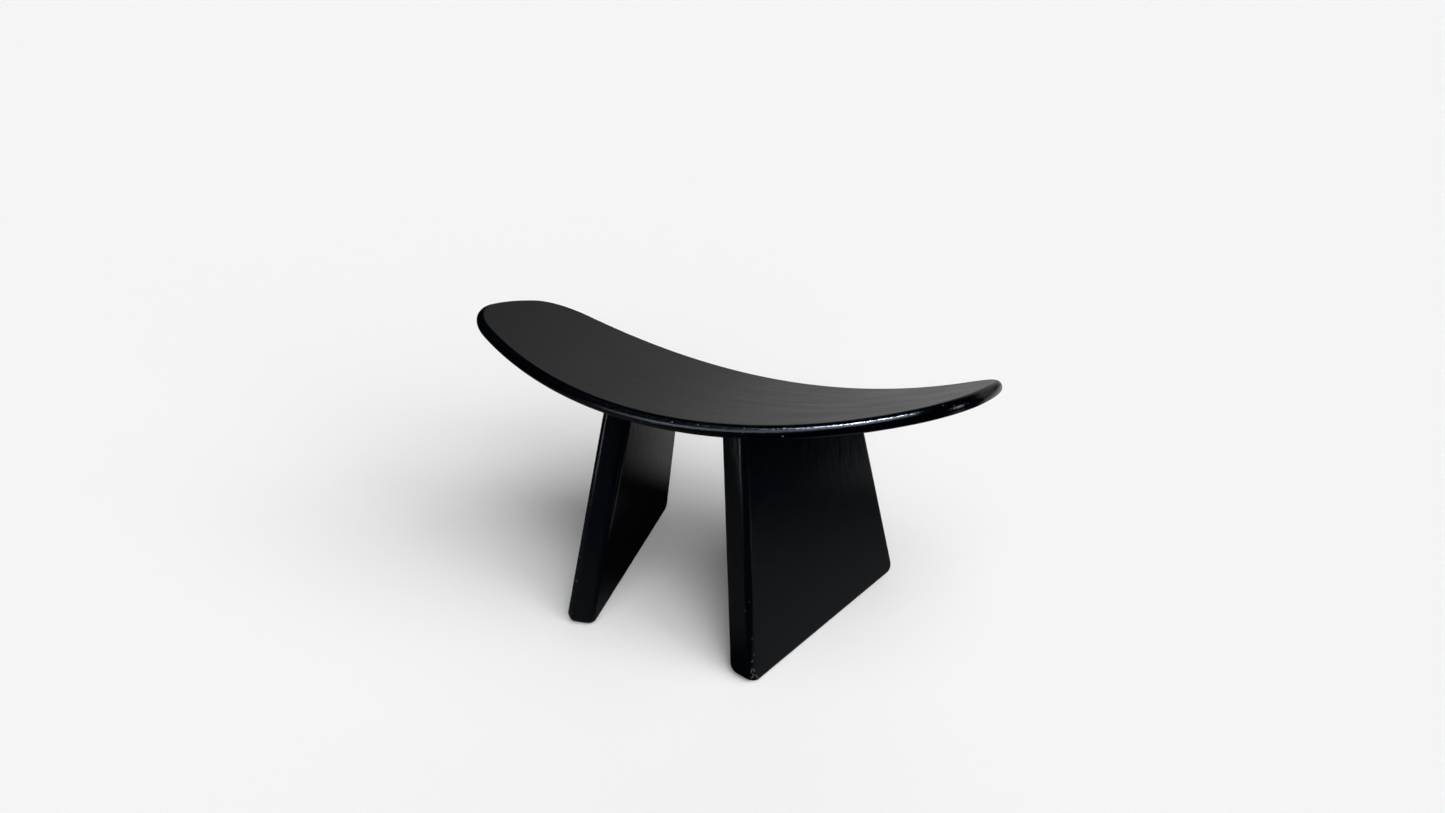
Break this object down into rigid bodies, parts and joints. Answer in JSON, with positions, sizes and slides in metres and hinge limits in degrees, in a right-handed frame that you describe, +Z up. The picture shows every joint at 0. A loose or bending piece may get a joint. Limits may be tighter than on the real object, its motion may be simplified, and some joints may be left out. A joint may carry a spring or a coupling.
{
  "type": "kneeling bench",
  "caption": "Low kneeling bench: a thin boat-shaped seat board, bent along its length and tilted forward, on splayed slab legs that stand wider apart at the front. Black lacquered wood.",
  "frame": {"origin": "on the floor, at the centre of the bench's footprint", "axes": "+X along the seat to its right end as seen from the rear, +Y across the seat from its high rear edge to its low front edge, +Z up"},
  "size_m": [0.5194, 0.2592, 0.2794],
  "materials": {
    "seat_lacquer": "satin black lacquer over fine wood grain, glossier on the rounded rim",
    "leg_lacquer": "satin black lacquer over fine upright wood grain, worn at the foot",
    "dowel_beech": "plain sawn and turned beech, glued"
  },
  "bodies": {
    "root": {"seat_board": "seat_lacquer", "leg_left": "leg_lacquer", "leg_right": "leg_lacquer", "dowel_left_rear": "dowel_beech", "dowel_left_middle": "dowel_beech", "dowel_left_front": "dowel_beech", "dowel_right_rear": "dowel_beech", "dowel_right_middle": "dowel_beech", "dowel_right_front": "dowel_beech"}
  },
  "joints": []
}
